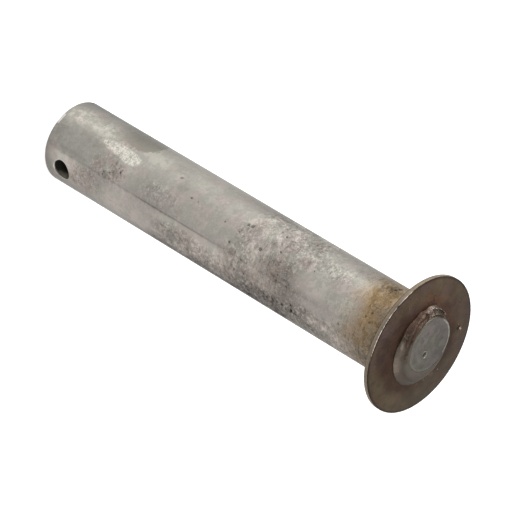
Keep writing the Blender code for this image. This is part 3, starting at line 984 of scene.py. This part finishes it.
class PIN_OT_spatter(bpy.types.Operator):
    """Build the drops of weld spatter on the washer's face"""

    bl_idname = "pin.spatter"
    bl_label = "Spatter"

    def execute(self, context):
        settings = context.scene.pin_washer
        face = context.scene.pin_shank.grip + settings.thickness
        drops = []
        for bearing, inset, size in SPATTER_DROPS:
            reach = settings.radius - inset * MM
            spot = Vector((*round_about(WASHER_CENTRE, reach, math.radians(bearing)), face))
            drop = add(bpy.ops.mesh.primitive_ico_sphere_add, "pin_spatter", subdivisions=4,
                       radius=settings.spatter * size, location=spot)
            for vertex in drop.data.vertices:
                offset = vertex.co - spot
                offset *= 1 + 0.25 * noise.noise(offset / (0.6 * MM) + Vector((bearing, 0, 0)))
                offset.z *= 0.9
                vertex.co = spot + offset
            drops.append(drop)
        take(*drops)
        bpy.ops.object.join()
        finish_piece(drops[0], self.finish(), None)
        return {"FINISHED"}

    def finish(self):
        """Bright drops, dark where they are oxidised."""
        finish = new_finish("spatter_metal")
        place = finish.place()
        mottle = finish.cloud(place, 0.7, 31.0, 4, 0.6)
        tone = finish.blend(mottle.rise(-0.5, 0.6), (0.30, 0.24, 0.19), (0.09, 0.05, 0.04))
        return finish.surface(tone, 0.36 + mottle * 0.04, mottle * 0.006)


# Each soft box's name, bearing, elevation, distance, width, height and power in watts
LAMPS = (
    ("key_box", 234, 22, 0.9, 0.45, 0.7, 6.8),
    ("fill_box", 40, 25, 1.2, 0.6, 0.6, 2.5),
    ("top_box", 130, 60, 1.4, 1.0, 1.0, 4.0),
    ("edge_box", 300, 52, 0.8, 0.9, 0.12, 2.2),
)


class PIN_OT_stage(bpy.types.Operator):
    """Set the camera, the floor and the lights"""

    bl_idname = "pin.stage"
    bl_label = "Stage"

    def execute(self, context):
        settings = context.scene.pin_stage
        self.set_camera(context, settings)
        self.lay_floor()
        self.hang_lamps()
        self.light_world(context)
        context.scene.view_settings.view_transform = "Standard"
        return {"FINISHED"}

    def set_camera(self, context, settings):
        lens = bpy.data.cameras.new("camera")
        camera = bpy.data.objects.new("camera", lens)
        context.collection.objects.link(camera)
        back = direction(settings.bearing, settings.elevation)
        facing = back.to_track_quat("Z", "Y").to_matrix() @ Matrix.Rotation(settings.roll, 3, "Z")
        spot = Vector(settings.target) + back * settings.distance
        camera.matrix_world = Matrix.Translation(spot) @ facing.to_4x4()
        lens.lens = settings.lens
        lens.sensor_width = 36
        lens.clip_start = 0.01
        context.scene.camera = camera

    def lay_floor(self):
        """A floor that the camera and the metal see as white, with the pin's shadow on it."""
        floor = add(bpy.ops.mesh.primitive_plane_add, "floor", size=8)
        finish = new_finish("floor_paper")
        nodes = finish.tree.nodes
        paper = finish.feed(nodes["Principled BSDF"], {
            "Base Color": (0.8, 0.8, 0.8), "Roughness": 0.9, "Specular IOR Level": 0.0})
        path = finish.node("ShaderNodeLightPath")
        camera = Field(finish, path.outputs["Is Camera Ray"])
        glossy = Field(finish, path.outputs["Is Glossy Ray"])
        glow = finish.node("ShaderNodeEmission", None, {"Strength": camera * 0.62 + glossy * 0.22})
        total = finish.node("ShaderNodeAddShader", None, {0: paper.outputs[0], 1: glow.outputs[0]})
        finish.feed(nodes["Material Output"], {"Surface": total.outputs[0]})
        floor.data.materials.append(finish.holder)

    def hang_lamps(self):
        """Soft boxes round the pin's middle."""
        middle = Vector((0, 0, GRIP_LENGTH / 2))
        for name, bearing, elevation, distance, wide, high, power in LAMPS:
            lamp = bpy.data.lights.new(name, "AREA")
            lamp.shape = "RECTANGLE"
            lamp.size = wide
            lamp.size_y = high
            lamp.energy = power
            holder = bpy.data.objects.new(name, lamp)
            bpy.context.collection.objects.link(holder)
            away = direction(math.radians(bearing), math.radians(elevation))
            holder.matrix_world = (Matrix.Translation(middle + away * distance)
                                   @ away.to_track_quat("Z", "Y").to_matrix().to_4x4())
            holder.visible_camera = False

    def light_world(self, context):
        """An even white sky, which the camera sees as white."""
        sky = Finish(bpy.data.worlds.new("sky"))
        context.scene.world = sky.holder
        camera = Field(sky, sky.node("ShaderNodeLightPath").outputs["Is Camera Ray"])
        sky.feed(sky.tree.nodes["Background"], {"Color": (1, 1, 1), "Strength": camera * 0.5 + 0.5})


class PIN_PT_panel(bpy.types.Panel):
    """Lists the pin's pieces, with the sizes and colours of each"""

    bl_label = "Lift Cylinder Pin"
    bl_idname = "PIN_PT_panel"
    bl_space_type = "VIEW_3D"
    bl_region_type = "UI"
    bl_category = "Pin"

    def draw(self, context):
        for group in GROUPS:
            settings = getattr(context.scene, group)
            box = self.layout.box()
            box.operator(group.replace("_", "."))
            for name in settings.bl_rna.properties.keys():
                if name not in ("rna_type", "name"):
                    box.prop(settings, name)
        self.layout.operator("pin.spatter")


# Each group of settings belongs to the operator of the same name
GROUPS = {
    "pin_shank": ShankSettings,
    "pin_washer": WasherSettings,
    "pin_weld": WeldSettings,
    "pin_stage": StageSettings,
}
OTHER_CLASSES = (PIN_OT_shank, PIN_OT_washer, PIN_OT_weld, PIN_OT_spatter, PIN_OT_stage,
                 PIN_PT_panel)


def register():
    for name, group in GROUPS.items():
        bpy.utils.register_class(group)
        setattr(bpy.types.Scene, name, PointerProperty(type=group))
    for made in OTHER_CLASSES:
        bpy.utils.register_class(made)


def unregister():
    for made in reversed(OTHER_CLASSES):
        bpy.utils.unregister_class(made)
    for name, group in GROUPS.items():
        delattr(bpy.types.Scene, name)
        bpy.utils.unregister_class(group)


def main():
    register()
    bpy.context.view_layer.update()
    bpy.ops.pin.stage()
    bpy.ops.pin.shank()
    bpy.ops.pin.washer()
    bpy.ops.pin.spatter()
    bpy.ops.pin.weld()


if __name__ == "__main__":
    main()
